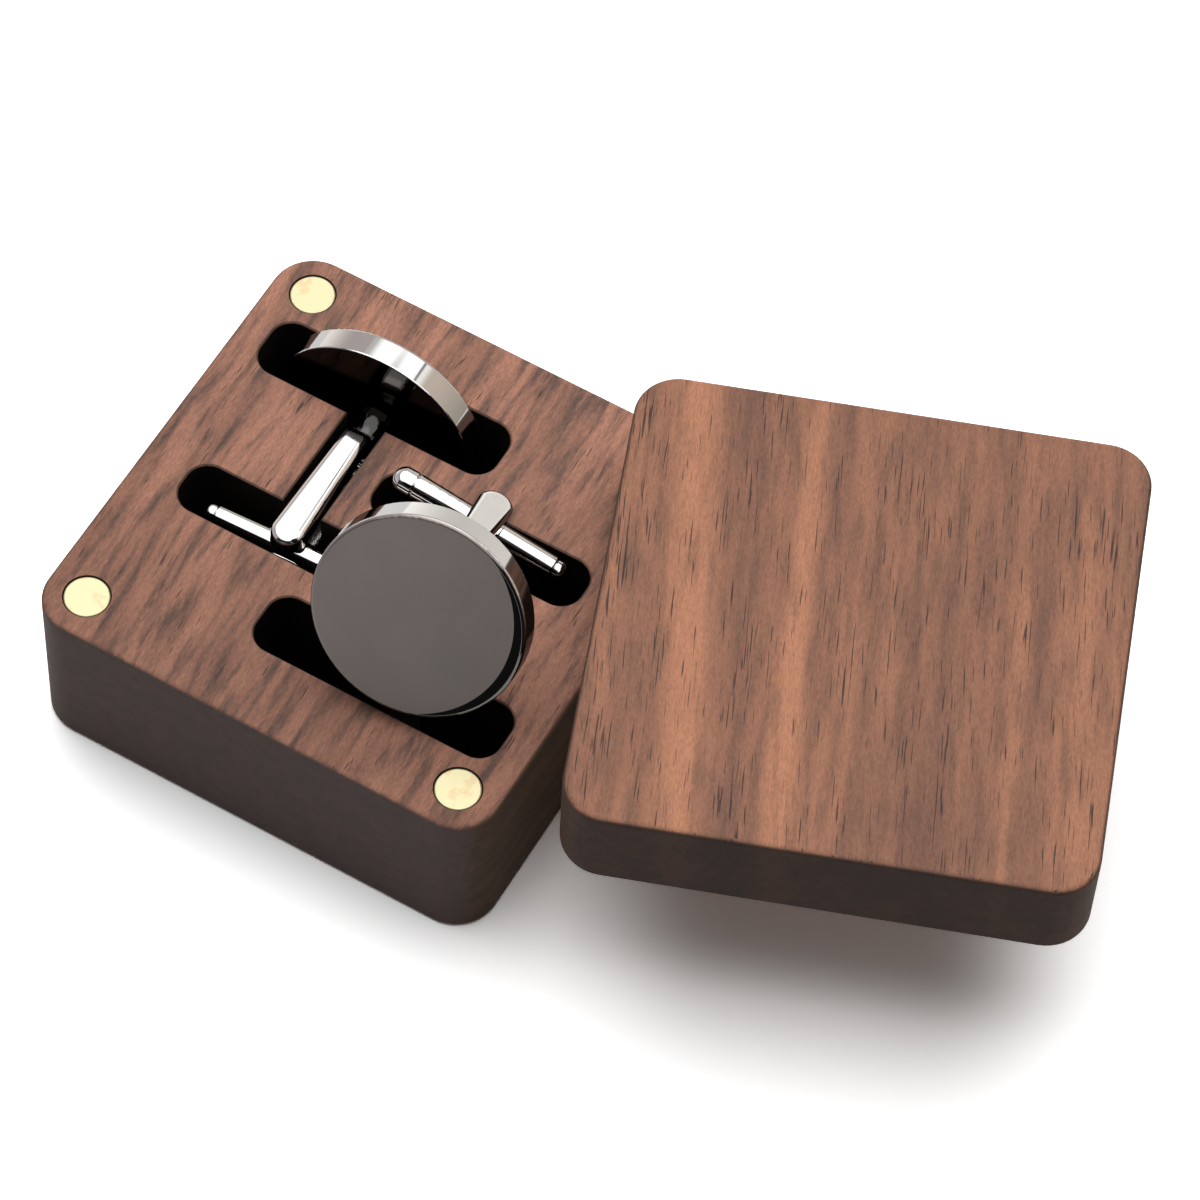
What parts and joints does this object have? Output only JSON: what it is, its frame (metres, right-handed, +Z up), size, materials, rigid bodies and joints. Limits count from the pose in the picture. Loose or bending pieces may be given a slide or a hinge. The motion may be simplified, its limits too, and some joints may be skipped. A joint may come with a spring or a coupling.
{
  "type": "cufflink box",
  "caption": "Square walnut box with slotted pockets for cufflinks, a magnet-held lid swung out on one corner, and round swivel-bar cufflinks in and on it.",
  "frame": {"origin": "middle of the base's underside", "axes": "+Z up, +Y along the grain of the base, +X towards the side where the lid is swung out"},
  "size_m": [0.0907, 0.0568, 0.0346],
  "materials": {
    "walnut": "oiled, open grain",
    "magnet_plate": "pale gold plating, polished",
    "head_metal": "dark polished plating",
    "bright_metal": "bright polished plating"
  },
  "bodies": {
    "base": {"base_block": "walnut", "base_magnet_1": "magnet_plate", "base_magnet_2": "magnet_plate", "base_magnet_3": "magnet_plate", "base_magnet_4": "magnet_plate"},
    "lid_pivot": {"lid_pivot_magnet": "magnet_plate"},
    "lid": {"lid_block": "walnut", "lid_magnet_1": "magnet_plate", "lid_magnet_2": "magnet_plate", "lid_magnet_3": "magnet_plate"},
    "cufflink_1": {"cufflink_1_head_disc": "head_metal", "cufflink_1_post_foot": "bright_metal", "cufflink_1_fork": "bright_metal", "cufflink_1_hinge_pin": "bright_metal"},
    "toggle_1": {"cufflink_1_toggle_barrel": "bright_metal", "cufflink_1_toggle_dome_cap": "bright_metal", "cufflink_1_toggle_tip": "bright_metal"},
    "cufflink_2": {"cufflink_2_head_disc": "head_metal", "cufflink_2_post_foot": "bright_metal", "cufflink_2_fork": "bright_metal", "cufflink_2_hinge_pin": "bright_metal"},
    "toggle_2": {"cufflink_2_toggle_barrel": "bright_metal", "cufflink_2_toggle_dome_cap": "bright_metal", "cufflink_2_toggle_tip": "bright_metal"}
  },
  "joints": [
    {"name": "lid_lift", "type": "slide", "parent": "base", "child": "lid_pivot", "axis": [0, 0, 1], "range_m": [0, 0.04]},
    {"name": "lid_swivel", "type": "hinge", "parent": "lid_pivot", "child": "lid", "pos_m": [0.01815, 0.01815, 0.0166], "axis": [0, 0, 1], "range_deg": [-9, 150]},
    {"name": "cufflink_1_lift", "type": "slide", "parent": "base", "child": "cufflink_1", "axis": [0, 0, 1], "range_m": [0, 0.045]},
    {"name": "cufflink_1_toggle", "type": "hinge", "parent": "cufflink_1", "child": "toggle_1", "pos_m": [-0.00693, -0.00419, 0.0146], "axis": [-0.003, 0.0784, 0.9969], "range_deg": [0, 90]},
    {"name": "cufflink_2_lift", "type": "slide", "parent": "base", "child": "cufflink_2", "axis": [0, 0, 1], "range_m": [0, 0.045]},
    {"name": "cufflink_2_toggle", "type": "hinge", "parent": "cufflink_2", "child": "toggle_2", "pos_m": [0.00732, 0.00432, 0.01806], "axis": [0.1639, 0.496, 0.8527], "range_deg": [-90, 0]}
  ],
  "couplings": [
    {"joint": "cufflink_1_toggle", "follows": "cufflink_1_lift", "rad_per_m": 34.9},
    {"joint": "cufflink_2_toggle", "follows": "cufflink_2_lift", "rad_per_m": -34.9}
  ]
}
